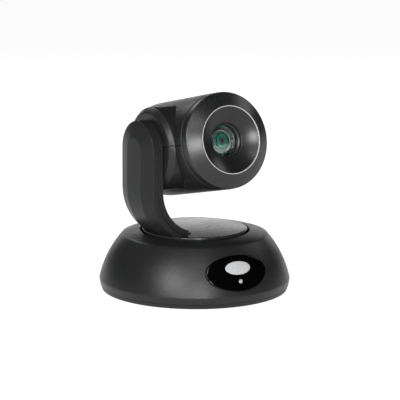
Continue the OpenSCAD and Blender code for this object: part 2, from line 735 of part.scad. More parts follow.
module group_lens(f, t) {
    at_lens() translate([0, 0, f]) intersection() {
        cylinder(r = 10, h = t);
        translate([0, 0, t / 2 - 28 + t / 2]) sphere(r = 28);
    }
}
module zoom_carriage() color([0.08, 0.08, 0.09]) { carriage(zoom_f, 7); }
module zoom_lens() color([0.5, 0.6, 0.65, 0.5]) { group_lens(zoom_f + 1, 4); }
module focus_carriage() color([0.08, 0.08, 0.09]) { carriage(focus_f, 6); }
module focus_lens() color([0.5, 0.6, 0.65, 0.5]) { group_lens(focus_f + 1, 4); }
module lens_motor(angle, f) {
    at_lens() rotate([0, 0, angle]) translate([lens_tube_r + 6.2, 0, f]) union() {
        cylinder(r = 6, h = 12);
        cylinder(r = 1.2, h = 30);
    }
}
module zoom_motor() color([0.35, 0.35, 0.37]) { lens_motor(60, 8); }
module focus_motor() color([0.35, 0.35, 0.37]) { lens_motor(120, -16); }
module image_sensor() color([0.15, 0.15, 0.2]) {
    at_lens() translate([-6, -5, lens_tube_end - 1.6]) cube([12, 10, 1.6]);
}
module sensor_board() color([0.06, 0.3, 0.16]) {
    at_lens() translate([-17, -17, lens_tube_end - 1.6 - board_t]) cube([34, 34, board_t]);
}
module head_board() color([0.06, 0.3, 0.16]) {
    at_lens() translate([-14, -26, -40]) cube([38, 52, board_t]);
}

base_shell();
bottom_plate();
rubber_feet();
plate_screws();
tripod_insert();
front_window();
window_badge();
status_led();
ir_receiver();
io_panel();
dc_inlet();
network_jack();
video_jack();
control_jack();
selector_body();
selector_knob();
main_board();
board_posts();
pan_post();
pan_bearings();
pan_motor();
pan_pinion();
turntable();
pan_gear();
pan_gear_screws();
arm_shell();
arm_cover();
arm_harness();
arm_screws();
tilt_bearing();
tilt_motor();
tilt_pinion();
tilt_gear();
tilt_hub();
head_upper_shell();
head_lower_shell();
head_screws();
bezel_ring();
lens_funnel();
front_glass();
lens_retainer();
lens_barrel();
guide_rods();
barrel_saddle();
zoom_carriage();
zoom_lens();
focus_carriage();
focus_lens();
zoom_motor();
focus_motor();
image_sensor();
sensor_board();
head_board();
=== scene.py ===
"""Looks of a desktop pan-tilt-zoom camera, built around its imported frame. Shapes are drawn in millimetres."""

import json
import math

import bmesh
import bpy
from mathutils import Matrix, Vector


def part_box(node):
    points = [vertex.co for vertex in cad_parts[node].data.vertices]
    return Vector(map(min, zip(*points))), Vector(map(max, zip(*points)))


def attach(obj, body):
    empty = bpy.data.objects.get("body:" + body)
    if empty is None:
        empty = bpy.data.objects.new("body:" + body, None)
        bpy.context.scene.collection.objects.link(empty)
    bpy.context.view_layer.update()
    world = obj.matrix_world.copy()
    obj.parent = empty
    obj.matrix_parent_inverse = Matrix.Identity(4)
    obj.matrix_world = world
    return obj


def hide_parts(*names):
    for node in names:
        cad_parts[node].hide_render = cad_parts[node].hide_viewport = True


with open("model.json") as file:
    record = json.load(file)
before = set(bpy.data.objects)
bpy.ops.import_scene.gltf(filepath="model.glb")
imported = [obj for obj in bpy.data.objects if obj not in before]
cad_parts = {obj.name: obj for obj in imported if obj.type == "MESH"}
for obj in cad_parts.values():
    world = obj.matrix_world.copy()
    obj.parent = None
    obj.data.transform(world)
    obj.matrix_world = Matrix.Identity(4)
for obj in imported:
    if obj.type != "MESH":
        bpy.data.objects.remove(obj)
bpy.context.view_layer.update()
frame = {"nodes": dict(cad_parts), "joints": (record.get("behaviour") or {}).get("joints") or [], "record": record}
nodes = frame["nodes"]
joints = {j["name"]: j for j in frame["joints"]}

MM = 0.001  # one millimetre in scene units


# ------------------------------------------------------------------ sizes taken from the frame

def box_mm(node):
    low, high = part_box(node)
    return low / MM, high / MM


base_low, base_high = box_mm("base_shell")
disc_low, disc_high = box_mm("turntable")
panel_low, panel_high = box_mm("io_panel")
badge_low, badge_high = box_mm("window_badge")
window_low, window_high = box_mm("front_window")
light_low, light_high = box_mm("status_led")

base_r = base_high.x
seam_h = base_low.z
well_h = base_high.z
disc_r = (disc_high.x - disc_low.x) / 2
disc_h = disc_high.z
axis_h = joints["tilt"]["pos_m"][2] / MM
tilt_axis = Vector(joints["tilt"]["axis"])
optical_axis = Vector(joints["zoom"]["axis"])
rest_pan = math.atan2(-tilt_axis.y, -tilt_axis.x)
rest_tilt = math.asin(optical_axis.z)

# The base's outline, as in the CAD model
crease_h = 11.4
shoulder_r, shoulder_h = 68.5, 53.5
side_bulge_r, shoulder_bulge_r = 95, 90
well_r, well_lip_h = 51.7, 49
base_wall = 2.6

# Arm: distances from the pan axis, and half widths
arm_in, arm_seam, arm_out = 52.0, 57.5, 63.0
facet_t, facet_w, arm_w = 4.0, 12.0, 27.5
bend_x, bend_h, bend_end = 11.5, 101.0, math.radians(72)
cover_top = -6.0  # where the inner cover ends, from the tilt axis

# Head: radii, and distances along the optical axis from the tilt axis
head_x = 2.0
barrel_r, barrel_front, barrel_rear, rear_round = 44.5, 48.9, 58.0, 16.0
head_wall = 2.2
boss_r, boss_side_x, boss_x, boss_bevel = 38.8, 47.1, 51.2, 4.6
recess_r, recess_x, recess_slope = 40.7, 25.0, math.radians(5)
bezel_r, bezel_front, lip_r, lip_front = 44.1, 56.9, 31.0, 64.0
opening_r, opening_front, glass_r, glass_front = 16.3, 56.0, 13.5, 53.4

# Frames of the bodies at rest. LENS_FRAME's Z is the optical axis, and BOSS_FRAME's Z the tilt axis.
BODY_FRAME = Matrix.Identity(4)
PAN_FRAME = Matrix.Rotation(rest_pan, 4, "Z")
TILT_FRAME = PAN_FRAME @ Matrix.Translation((0, 0, axis_h)) @ Matrix.Rotation(-rest_tilt, 4, "X")
LENS_FRAME = TILT_FRAME @ Matrix.Translation((-head_x, 0, 0)) @ Matrix.Rotation(math.radians(90), 4, "X")
BOSS_FRAME = TILT_FRAME @ Matrix.Rotation(math.radians(-90), 4, "Y")


# ------------------------------------------------------------------ camera, floor and lights

def make_camera():
    """The view is from the front, turned towards -X, and a little above the base."""
    azimuth, elevation, roll = math.radians(29.25), math.radians(10.92), math.radians(0.35)
    distance, shift_right, aim_h, lens = 1600.0, 4.76, 84.57, 153.37
    toward = Vector((-math.sin(azimuth) * math.cos(elevation),
                     -math.cos(azimuth) * math.cos(elevation), math.sin(elevation)))
    right = Vector((math.cos(azimuth), -math.sin(azimuth), 0))
    up = right.cross(-toward)
    aim = right * shift_right + Vector((0, 0, aim_h))
    side = right * math.cos(roll) + up * math.sin(roll)
    top = up * math.cos(roll) - right * math.sin(roll)
    data = bpy.data.cameras.new("camera")
    data.lens = lens
    data.sensor_width = 36
    data.clip_start = 0.05
    data.clip_end = 60
    camera = bpy.data.objects.new("camera", data)
    bpy.context.scene.collection.objects.link(camera)
    turn = Matrix((side, top, toward)).transposed().to_4x4()
    camera.matrix_world = Matrix.Translation((aim + toward * distance) * MM) @ turn
    bpy.context.scene.camera = camera


def studio_light(name, azimuth, elevation, size, watts):
    """A soft panel, its size in metres, aimed at the object. Azimuth 0 is in front, and 90 degrees is +X."""
    a, e = math.radians(azimuth), math.radians(elevation)
    distance = 1.8  # metres, as aim below
    place = Vector((distance * math.sin(a) * math.cos(e), -distance * math.cos(a) * math.cos(e),
                    distance * math.sin(e)))
    aim = Vector((0, 0, 0.09))
    data = bpy.data.lights.new(name, "AREA")
    data.shape = "RECTANGLE"
    data.size, data.size_y = size
    data.energy = watts
    light = bpy.data.objects.new(name, data)
    bpy.context.scene.collection.objects.link(light)
    light.location = place
    light.rotation_euler = (aim - place).to_track_quat("-Z", "Y").to_euler()
    light.visible_camera = False


def make_floor():
    half = 15
    corners = [(-half, -half, 0), (half, -half, 0), (half, half, 0), (-half, half, 0)]
    mesh = bpy.data.meshes.new("floor")
    mesh.from_pydata(corners, [], [(0, 1, 2, 3)])
    mesh.materials.append(floor_paint())
    floor = bpy.data.objects.new("floor", mesh)
    bpy.context.scene.collection.objects.link(floor)


def make_studio():
    bpy.context.scene.view_settings.view_transform = "Standard"
    make_floor()
    world = bpy.data.worlds.new("studio")
    world.use_nodes = True
    bpy.context.scene.world = world
    background = world.node_tree.nodes["Background"]
    background.inputs["Color"].default_value = (1, 1, 1, 1)
    background.inputs["Strength"].default_value = 0.004

    studio_light("key_left", -60, 30, (0.3, 0.3), 19)
    studio_light("left_fill", -45, 20, (0.3, 0.4), 12)
    studio_light("front", -21, 15, (0.22, 0.46), 20)
    studio_light("front_high", -24, 46, (0.5, 0.5), 5)
    studio_light("right", 90, 35, (0.5, 0.5), 2.1)
    studio_light("back_high", -176, 40, (0.6, 0.5), 4.5)
    studio_light("back_panel", 150, 10, (2.2, 0.3), 5.0)


# ------------------------------------------------------------------ materials

def set_ramp(ramp, stops):
    """Gives a colour ramp its stops, each a position with its colour."""
    elements = ramp.color_ramp.elements
    while len(elements) > 1:
        elements.remove(elements[-1])
    elements[0].position = stops[0][0]
    elements[0].color = (*stops[0][1], 1)
    for position, colour in stops[1:]:
        elements.new(position).color = (*colour, 1)


def new_material(name, **sockets):
    """A principled material; each keyword sets one of the shader's own sockets."""
    material = bpy.data.materials.new(name)
    material.use_nodes = True
    shader = material.node_tree.nodes["Principled BSDF"]
    for socket, value in sockets.items():
        shader.inputs[socket.replace("_", " ")].default_value = value
    return material, material.node_tree, shader


def noise(tree, scale, detail=3.0, stretch=None):
    """Three-dimensional noise over the piece, scale in waves to a metre."""
    coordinates = tree.nodes.new("ShaderNodeTexCoord")
    texture = tree.nodes.new("ShaderNodeTexNoise")
    texture.inputs["Scale"].default_value = scale
    texture.inputs["Detail"].default_value = detail
    texture.inputs["Roughness"].default_value = 0.55
    source = coordinates.outputs["Object"]
    if stretch:
        mapping = tree.nodes.new("ShaderNodeMapping")
        mapping.inputs["Scale"].default_value = stretch
        tree.links.new(source, mapping.inputs["Vector"])
        source = mapping.outputs[0]
    tree.links.new(source, texture.inputs["Vector"])
    return texture.outputs["Fac"]


def vary(tree, factor, low, high, socket, start=0.3, end=0.7):
    """Leads factor through a ramp from low to high, colours or plain numbers, into socket."""
    if isinstance(low, tuple):
        ramp = tree.nodes.new("ShaderNodeValToRGB")
        set_ramp(ramp, [(start, low), (end, high)])
        tree.links.new(factor, ramp.inputs[0])
        tree.links.new(ramp.outputs[0], socket)
    else:
        span = tree.nodes.new("ShaderNodeMapRange")
        for name, value in (("From Min", start), ("From Max", end), ("To Min", low), ("To Max", high)):
            span.inputs[name].default_value = value
        tree.links.new(factor, span.inputs["Value"])
        tree.links.new(span.outputs[0], socket)


def bump(tree, shader, height, strength, distance_mm):
    """Adds relief to the shader's surface: height runs from 0 to 1 and is worth distance_mm."""
    node = tree.nodes.new("ShaderNodeBump")
    node.inputs["Strength"].default_value = strength
    node.inputs["Distance"].default_value = distance_mm * MM
    tree.links.new(height, node.inputs["Height"])
    tree.links.new(node.outputs[0], shader.inputs["Normal"])


def textured_plastic(name, dark, light, roughness, grain=0.35, grain_scale=1300, coarse=0.5, specular=0.5,
                     depth_mm=0.12):
    """Moulded or painted plastic with a spark-eroded grain, unless grain is 0, and a faint uneven sheen."""
    material, tree, shader = new_material(name, Specular_IOR_Level=specular)
    vary(tree, noise(tree, grain_scale * coarse, 2.0), dark, light, shader.inputs["Base Color"], 0.35, 0.65)
    vary(tree, noise(tree, 45, 2.0), roughness - 0.02, roughness + 0.02, shader.inputs["Roughness"])
    if grain:
        bump(tree, shader, noise(tree, grain_scale, 2.5), grain, depth_mm)
    return material


def metal(name, colour, roughness, scratch_scale=(60, 60, 900)):
    """Bare metal with fine streaks, longest along the axes where scratch_scale is lowest."""
    material, tree, shader = new_material(name, Metallic=1.0)
    darker = tuple(c * 0.82 for c in colour)
    streaks = noise(tree, 1, 4.0, scratch_scale)
    vary(tree, streaks, darker, colour, shader.inputs["Base Color"])
    scuffs = noise(tree, 1, 3.0, scratch_scale)
    vary(tree, scuffs, roughness * 0.8, roughness * 1.25, shader.inputs["Roughness"])
    return material


def floor_paint():
    material, tree, shader = new_material("floor_paint", Roughness=0.9, Specular_IOR_Level=0.0)
    vary(tree, noise(tree, 0.4), (0.30, 0.30, 0.30), (0.31, 0.31, 0.31), shader.inputs["Base Color"])
    shader.inputs["Emission Color"].default_value = (1, 1, 1, 1)
    shader.inputs["Emission Strength"].default_value = 0.95
    return material


def gloss_window_plastic():
    material, tree, shader = new_material("window_plastic", Specular_IOR_Level=0.18)
    vary(tree, noise(tree, 60), (0.0006, 0.0006, 0.0007), (0.001, 0.001, 0.0011), shader.inputs["Base Color"])
    vary(tree, noise(tree, 90, 5.0), 0.05, 0.09, shader.inputs["Roughness"])
    return material


def lens_glass():
    material, tree, shader = new_material("lens_glass", Transmission_Weight=1.0, IOR=1.5)
    shader.inputs["Base Color"].default_value = (0.98, 1.0, 0.99, 1)
    vary(tree, noise(tree, 500, 2.0), 0.006, 0.014, shader.inputs["Roughness"])
    return material


def lens_radius(tree, wobble, scale):
    """Distance from the middle of the lens, in lens diameters, plus a wobble of scale waves to a metre."""
    uv = tree.nodes.new("ShaderNodeTexCoord")
    centre = tree.nodes.new("ShaderNodeVectorMath")
    centre.operation = "DISTANCE"
    centre.inputs[1].default_value = (0.5, 0.5, 0.0)
    tree.links.new(uv.outputs["UV"], centre.inputs[0])
    ripple = tree.nodes.new("ShaderNodeMath")
    ripple.operation = "MULTIPLY_ADD"
    ripple.inputs[1].default_value = wobble
    tree.links.new(noise(tree, scale, 2.0), ripple.inputs[0])
    tree.links.new(centre.outputs["Value"], ripple.inputs[2])
    return ripple.outputs[0]


def coated_painted_reflection(name, stops, wobble, scale):
    """A coated lens surface: the coating's tint, with uneven rings of painted reflection in the base colour."""
    material, tree, shader = new_material(name, Metallic=0.35)
    ramp = tree.nodes.new("ShaderNodeValToRGB")
    set_ramp(ramp, stops)
    tree.links.new(lens_radius(tree, wobble, scale), ramp.inputs[0])
    tree.links.new(ramp.outputs[0], shader.inputs["Base Color"])
    vary(tree, noise(tree, 300, 2.0), 0.12, 0.25, shader.inputs["Roughness"])
    return material


def circuit_board():
    material, tree, shader = new_material("circuit_board", Coat_Weight=0.4)
    traces = noise(tree, 380, 1.0)
    vary(tree, traces, (0.006, 0.05, 0.022), (0.02, 0.14, 0.06), shader.inputs["Base Color"], 0.46, 0.5)
    vary(tree, noise(tree, 200), 0.3, 0.45, shader.inputs["Roughness"])
    return material


CHARCOAL = textured_plastic("charcoal_plastic", (0.0075, 0.0077, 0.008), (0.0105, 0.0107, 0.0111), 0.38,
                            grain=0.75, grain_scale=900, coarse=1.1, specular=0.28, depth_mm=0.22)
ARM_PLASTIC = textured_plastic("arm_plastic", (0.010, 0.0102, 0.0105), (0.0145, 0.0148, 0.0152), 0.36,
                               grain=0.75, grain_scale=900, coarse=1.1, specular=0.1, depth_mm=0.2)
BEZEL_PLASTIC = textured_plastic("bezel_plastic", (0.006, 0.0062, 0.0065), (0.013, 0.0133, 0.0138), 0.33,
                                 grain=0.25, grain_scale=1100, specular=0.36, depth_mm=0.08)
FUNNEL_PLASTIC = textured_plastic("funnel_plastic", (0.005, 0.005, 0.0053), (0.009, 0.009, 0.0094), 0.3,
                                  grain=0.2, specular=0.34)
# Painted highlight: the lip is dark plastic, painted light grey to stand for the bright highlight along its edge
LIP_PAINTED_HIGHLIGHT = textured_plastic("lip_painted_highlight", (0.27, 0.27, 0.275), (0.33, 0.33, 0.335), 0.25,
                               grain=0.05, specular=1.0)
UNDERSIDE_PLASTIC = textured_plastic("underside_plastic", (0.004, 0.004, 0.0043), (0.008, 0.008, 0.0084), 0.5,
                                     specular=0.3)
BLACK_PLASTIC = textured_plastic("black_plastic", (0.003, 0.003, 0.0033), (0.006, 0.006, 0.0064), 0.4,
                                 grain=0.15)
RUBBER = textured_plastic("rubber", (0.006, 0.006, 0.006), (0.012, 0.012, 0.012), 0.8, grain_scale=900)
ACETAL = textured_plastic("acetal", (0.62, 0.6, 0.54), (0.72, 0.7, 0.64), 0.35, grain=0.08)
DISC_PAINT = textured_plastic("disc_paint", (0.007, 0.0072, 0.0076), (0.012, 0.0123, 0.0127), 0.27,
                              grain=0.0, specular=0.36)
LIGHT_PIPE = textured_plastic("light_pipe", (0.2, 0.2, 0.21), (0.3, 0.3, 0.31), 0.3, grain=0.1)
SILVER = textured_plastic("satin_silver", (0.31, 0.315, 0.32), (0.37, 0.375, 0.38), 0.4,
                          grain=0.06, specular=0.6)
# Painted highlight: a light cyan ring for the bright rim at the edge of the third lens element
EDGE_PAINTED_HIGHLIGHT = textured_plastic("edge_painted_highlight", (0.26, 0.36, 0.35), (0.36, 0.46, 0.45), 0.2,
                                 grain=0.05, specular=1.0)
STEEL = metal("steel", (0.6, 0.6, 0.62), 0.3)
BRASS = metal("brass", (0.75, 0.56, 0.27), 0.28)
ALLOY = metal("cast_alloy", (0.5, 0.51, 0.52), 0.45, (300, 300, 300))
MOTOR_CAN = metal("motor_can", (0.12, 0.12, 0.13), 0.35)
WINDOW_PLASTIC = gloss_window_plastic()
GLASS = lens_glass()
BOARD = circuit_board()

# Coating tint with painted reflections, dark and bright rings: each colour with its distance from the middle of
# the lens, as lens_radius gives it
INNER_TINT_AND_PAINTED_REFLECTION = [
    (0.05, (0.08, 0.15, 0.11)), (0.12, (0.08, 0.26, 0.18)), (0.17, (0.01, 0.06, 0.04)),
    (0.22, (0.14, 0.10, 0.17)), (0.27, (0.01, 0.16, 0.09)), (0.33, (0.06, 0.34, 0.20)),
    (0.38, (0.01, 0.03, 0.03)), (0.43, (0.14, 0.24, 0.22)), (0.52, (0.05, 0.04, 0.07)),
]
OUTER_TINT_AND_PAINTED_REFLECTION = [
    (0.40, (0.002, 0.006, 0.006)), (0.44, (0.02, 0.20, 0.11)), (0.47, (0.004, 0.03, 0.02)),
    (0.50, (0.13, 0.06, 0.08)), (0.53, (0.008, 0.05, 0.03)), (0.56, (0.14, 0.30, 0.22)),
    (0.60, (0.36, 0.44, 0.41)),
]
# Painted reflection: the lens's coloured and bright rings are set in these materials' base colour, over the
# coating's tint
COATED_PAINTED_REFLECTION = coated_painted_reflection("coated_painted_reflection", INNER_TINT_AND_PAINTED_REFLECTION, 0.26, 120)
COATED_RINGS_PAINTED_REFLECTION = coated_painted_reflection("coated_rings_painted_reflection", OUTER_TINT_AND_PAINTED_REFLECTION, 0.12, 90)

# The record's material slots
NODE_PAINT = {
    "shell": CHARCOAL, "disc": DISC_PAINT, "underside": UNDERSIDE_PLASTIC, "feet": RUBBER,
    "window": WINDOW_PLASTIC, "badge": SILVER, "light": LIGHT_PIPE, "funnel": BLACK_PLASTIC, "glass": COATED_PAINTED_REFLECTION,
    "steel": STEEL, "brass": BRASS, "alloy": ALLOY, "acetal": ACETAL, "motor": MOTOR_CAN,
    "black": BLACK_PLASTIC, "board": BOARD, "sensor": COATED_PAINTED_REFLECTION,
}


def paint_cad_nodes():
    for entry in frame["record"]["subparts"]:
        data = nodes[entry["node"]].data
        data.materials.clear()
        data.materials.append(NODE_PAINT[entry["material_slot"]])


# ------------------------------------------------------------------ mesh helpers

def build(name, points, faces, place=BODY_FRAME):
    """A mesh object from points in millimetres, with coincident points joined and normals outward."""
    mesh = bpy.data.meshes.new(name)
    mesh.from_pydata([(place @ Vector(p)) * MM for p in points], [], faces)
    shape = bmesh.new()
    shape.from_mesh(mesh)
    bmesh.ops.remove_doubles(shape, verts=shape.verts, dist=0.002 * MM)
    bmesh.ops.dissolve_degenerate(shape, edges=shape.edges, dist=0.001 * MM)
    bmesh.ops.recalc_face_normals(shape, faces=shape.faces)
    shape.to_mesh(mesh)
    shape.free()
    piece = bpy.data.objects.new(name, mesh)
    bpy.context.scene.collection.objects.link(piece)
    return piece


def grid_faces(rows, columns, close_rows=False, close_columns=False):
    """Four-sided faces over points listed row by row; closing joins the last row or column to the first."""
    return [(i * columns + j, i * columns + (j + 1) % columns,
             (i + 1) % rows * columns + (j + 1) % columns, (i + 1) % rows * columns + j)
            for i in range(rows if close_rows else rows - 1)
            for j in range(columns if close_columns else columns - 1)]


def prism_faces(count):
    """The faces of a prism whose points are one ring of count points and then the other."""
    ends = [tuple(range(count)), tuple(range(2 * count - 1, count - 1, -1))]
    return grid_faces(2, count, False, True) + ends


def lathe(name, outline, place=BODY_FRAME, steps=224):
    """Turns an outline of (radius, height) points round local Z. Its ends are on the axis, or it closes."""
    closed = outline[0][0] > 0 or outline[-1][0] > 0
    points = [(r * math.cos(a), r * math.sin(a), z) for r, z in outline
              for a in (2 * math.pi * k / steps for k in range(steps))]
    return build(name, points, grid_faces(len(outline), steps, closed, True), place)


def arc(start, end, radius, count):
    """Points of the arc that bulges to the right of the way from start to end."""
    p, q = Vector(start), Vector(end)
    way = q - p
    rise = math.sqrt(radius ** 2 - way.length ** 2 / 4)
    centre = (p + q) / 2 + Vector((-way.y, way.x)).normalized() * rise
    a0 = math.atan2(p.y - centre.y, p.x - centre.x)
    a1 = math.atan2(q.y - centre.y, q.x - centre.x)
    return [(centre.x + radius * math.cos(a0 + (a1 - a0) * i / count),
             centre.y + radius * math.sin(a0 + (a1 - a0) * i / count)) for i in range(count + 1)]


def soften(outline, rounds, steps=4, closed=True):
    """Rounds the corners of an outline: rounds maps a point's index to the length that its corner takes."""
    result = []
    count = len(outline)
    for i, point in enumerate(outline):
        size = rounds.get(i, 0)
        if not size or (not closed and i in (0, count - 1)):
            result.append(tuple(point))
            continue
        here = Vector(point)
        before, after = Vector(outline[i - 1]) - here, Vector(outline[(i + 1) % count]) - here
        a = here + before.normalized() * min(size, before.length * 0.48)
        b = here + after.normalized() * min(size, after.length * 0.48)
        for k in range(steps + 1):
            t = k / steps
            result.append(tuple(a * (1 - t) ** 2 + here * 2 * t * (1 - t) + b * t ** 2))
    return result


def boolean(piece, tool, operation="DIFFERENCE"):
    """Cuts piece with tool, or joins them, and removes tool."""
    modifier = piece.modifiers.new("cut", "BOOLEAN")
    modifier.operation = operation
    modifier.solver = "MANIFOLD"
    modifier.object = tool
    bake_modifiers(piece)
    bpy.data.objects.remove(tool)


def bake_modifiers(piece):
    bpy.context.view_layer.update()
    mesh = bpy.data.meshes.new_from_object(piece.evaluated_get(bpy.context.evaluated_depsgraph_get()))
    piece.modifiers.clear()
    piece.data = mesh


def edge_bevel(piece, width_mm, angle=35, segments=2):
    modifier = piece.modifiers.new("edges", "BEVEL")
    modifier.width = width_mm * MM
    modifier.segments = segments
    modifier.limit_method = "ANGLE"
    modifier.angle_limit = math.radians(angle)
    modifier.use_clamp_overlap = False
    bake_modifiers(piece)


def block(name, low, high, place=BODY_FRAME):
    corners = [(x, y, z) for x in (low[0], high[0]) for y in (low[1], high[1]) for z in (low[2], high[2])]
    faces = [(0, 1, 3, 2), (4, 6, 7, 5), (0, 4, 5, 1), (2, 3, 7, 6), (0, 2, 6, 4), (1, 5, 7, 3)]
    return build(name, corners, faces, place)


def finished(piece, material, body, *replaced, slot=None):
    """Gives a piece its material and body, and hides the parts that it replaces."""
    piece.data.materials.clear()
    piece.data.materials.append(material)
    piece.data.shade_smooth()
    piece.data.set_sharp_from_angle(angle=math.radians(35))
    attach(piece, body)
    if replaced:
        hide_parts(*replaced)


# ------------------------------------------------------------------ base

def side_arc(count=36, inset=0.0):
    """The base's side in outline, from the crease up, moved in by inset and down by half of it."""
    points = arc((base_r, crease_h), (shoulder_r, shoulder_h), side_bulge_r, count)
    return [(r - inset, z - inset / 2) for r, z in points]


def shoulder_arc():
    """The base's shoulder in outline, from the side in to the well."""
    return arc((shoulder_r - 0.6, shoulder_h + 0.3), (well_r, well_h), shoulder_bulge_r, 12)


def base_radius(height):
    """Radius of the base's side at a height."""
    points = side_arc(60)
    for (r0, z0), (r1, z1) in zip(points, points[1:]):
        if z0 <= height <= z1:
            return r0 + (r1 - r0) * (height - z0) / (z1 - z0)
    return points[0][0] if height < points[0][1] else points[-1][0]


def make_base():
    side, shoulder, inner = side_arc(), shoulder_arc(), side_arc(36, base_wall)
    outline = [(base_r - 1, seam_h)] + side + shoulder
    outline += [(well_r, well_lip_h), (well_r + 2, well_lip_h), (well_r + 2, well_h - 3.4)]
    outline += inner[::-1] + [(base_r - 1 - base_wall, seam_h)]
    first_shoulder = 1 + len(side)
    rounds = {0: 0.4, 1: 1.6, first_shoulder + len(shoulder) - 1: 0.7}
    shell = lathe("base_casing", soften(outline, rounds), steps=256)
    window_middle = (window_low.z + window_high.z) / 2
    window_gap, panel_gap, outside = 0.25, 0.1, 110
    half_a = (window_high.x - window_low.x) / 2 + window_gap
    half_b = (window_high.z - window_low.z) / 2 + window_gap
    boolean(shell, oval_prism("window_cut", half_a, half_b, window_middle))
    boolean(shell, block("panel_cut", (panel_low.x - panel_gap, panel_high.y, panel_low.z - panel_gap),
                         (panel_high.x + panel_gap, outside, panel_high.z + panel_gap)))
    edge_bevel(shell, 0.3, 50)
    finished(shell, CHARCOAL, "base", "base_shell", slot="shell")

    # Shroud round the rear sockets
    wall = 2
    shroud = block("socket_shroud", (panel_low.x - wall, panel_high.y - 3, panel_low.z - wall),
                   (panel_high.x + wall, 100, panel_high.z + wall))
    boolean(shroud, block("shroud_cut", (panel_low.x - panel_gap, panel_high.y - 4, panel_low.z - panel_gap),
                          (panel_high.x + panel_gap, outside, panel_high.z + panel_gap)))
    solid = [(0, seam_h)] + [(base_r - 2, seam_h)] + [(r - 1, z - 0.5) for r, z in side] + [(0, shoulder_h)]
    boolean(shroud, lathe("base_solid", solid), "INTERSECT")
    finished(shroud, CHARCOAL, "base", slot="shell")


def oval_prism(name, a, b, middle):
    """An oval bar through the front of the base's side, a and b its half width and half height."""
    steps = 96
    turns = [2 * math.pi * k / steps for k in range(steps)]
    ring = [(a * math.cos(turn), b * math.sin(turn)) for turn in turns]
    points = [(x, y, middle + z) for y in (-60, -100) for x, z in ring]
    return build(name, points, prism_faces(steps))


def oval_cap(name, a, b, middle, proud, depth, edge, crown=0.0):
    """An oval plate that follows the base's side, proud of it, with a rounded rim."""
    steps, rings = 96, 20
    rows = [(0.0, proud - depth), (1.0, proud - depth), (1.0, proud - edge)]
    rows += [(1 - edge / b * (1 - math.cos(math.radians(t))), proud - edge + edge * math.sin(math.radians(t)))
             for t in (30, 60, 90)]
    inner = rows[-1][0]
    rows += [(inner * (1 - k / rings), proud + crown * (1 - (1 - k / rings) ** 2)) for k in range(1, rings + 1)]
    points = []
    for share, out in rows:
        for k in range(steps):
            angle = 2 * math.pi * k / steps
            x, z = a * share * math.cos(angle), middle + b * share * math.sin(angle)
            points.append((x, -math.sqrt((base_radius(z) + out) ** 2 - x * x), z))
    return build(name, points, grid_faces(len(rows), steps, False, True))


def make_window():
    middle = (window_low.z + window_high.z) / 2
    half_a, half_b = (window_high.x - window_low.x) / 2, (window_high.z - window_low.z) / 2
    window = oval_cap("smoked_window", half_a, half_b, middle, 0.3, 2.2, 0.35)
    light_h, light_r = (light_low.z + light_high.z) / 2, (light_high.x - light_low.x) / 2
    front = Matrix.Translation((0, 0, light_h)) @ Matrix.Rotation(math.radians(90), 4, "X")
    hole_r, inside, outside = light_r + 0.1, 70, 100
    hole = [(0, inside), (hole_r, inside), (hole_r, outside), (0, outside)]
    boolean(window, lathe("light_hole", hole, front, 48))
    finished(window, WINDOW_PLASTIC, "base", "front_window", slot="window")

    tip = base_radius(light_h) + 0.45
    light_depth = 8
    outline = [(0, tip - light_depth), (light_r, tip - light_depth), (light_r, tip - 0.5),
               (light_r - 0.15, tip - 0.25), (light_r * 0.7, tip - 0.02), (light_r * 0.45, tip - 0.05),
               (0, tip)]
    light = lathe("status_light", outline, front, 48)
    finished(light, LIGHT_PIPE, "base", "status_led", slot="light")

    middle = (badge_low.z + badge_high.z) / 2
    half_a, half_b = (badge_high.x - badge_low.x) / 2, (badge_high.z - badge_low.z) / 2
    badge = oval_cap("blank_badge", half_a, half_b, middle, 0.75, 0.5, 0.3, 0.2)
    finished(badge, SILVER, "base", "window_badge", slot="badge")


# ------------------------------------------------------------------ turntable and arm

def make_turntable():
    crown, rings = 1.5, 24
    under = disc_h - 2.6
    dome = [(disc_r * (1 - k / rings), disc_h - 0.35 + crown * (1 - (1 - k / rings) ** 2))
            for k in range(rings + 1)]
    outline = [(0, under), (disc_r - 0.4, under), (disc_r, under + 0.4), (disc_r, disc_h - 1.0)]
    outline += [(disc_r - 0.12, disc_h - 0.6)] + [(r - 0.45 * (r / disc_r), z) for r, z in dome]
    disc = lathe("turntable_disc", outline, PAN_FRAME)
    finished(disc, DISC_PAINT, "pan", "turntable", slot="disc")
    hub_in, hub_out, hub_low = 16.1, 20, 27
    tube = [(hub_in, hub_low), (hub_out, hub_low), (hub_out, under), (hub_in, under)]
    hub = lathe("turntable_hub", tube, PAN_FRAME, 96)
    finished(hub, DISC_PAINT, "pan", slot="disc")


def arm_point(u, v, d):
    """A point of the arm: u across it, v along it from the tilt axis, d its distance from the pan axis."""
    straight = axis_h - bend_h
    if v >= -straight:
        return (-d, u, axis_h + v)
    a = (-straight - v) / (arm_seam - bend_x)
    return (-bend_x - (d - bend_x) * math.cos(a), u, bend_h - (d - bend_x) * math.sin(a))


def arm_stations(inset, top):
    """Outline of the arm at an inset from its edge, from one side of the foot over the top to the other."""
    half = max(arm_w - inset, 0.0)
    low_end = -(axis_h - bend_h) - bend_end * (arm_seam - bend_x)
    steps = 26
    left = [(-half, low_end + (cover_top - low_end) * k / steps) for k in range(steps + 1)]
    if top:
        left.append((-half, cover_top + 0.05))
        turns = [math.radians(4.5 * k) for k in range(21)]
        left += [(-half * math.cos(turn), half * math.sin(turn)) for turn in turns]
        return left + [(-u, v) for u, v in reversed(left[:-1])]
    return left + [(-u, v) for u, v in reversed(left)]


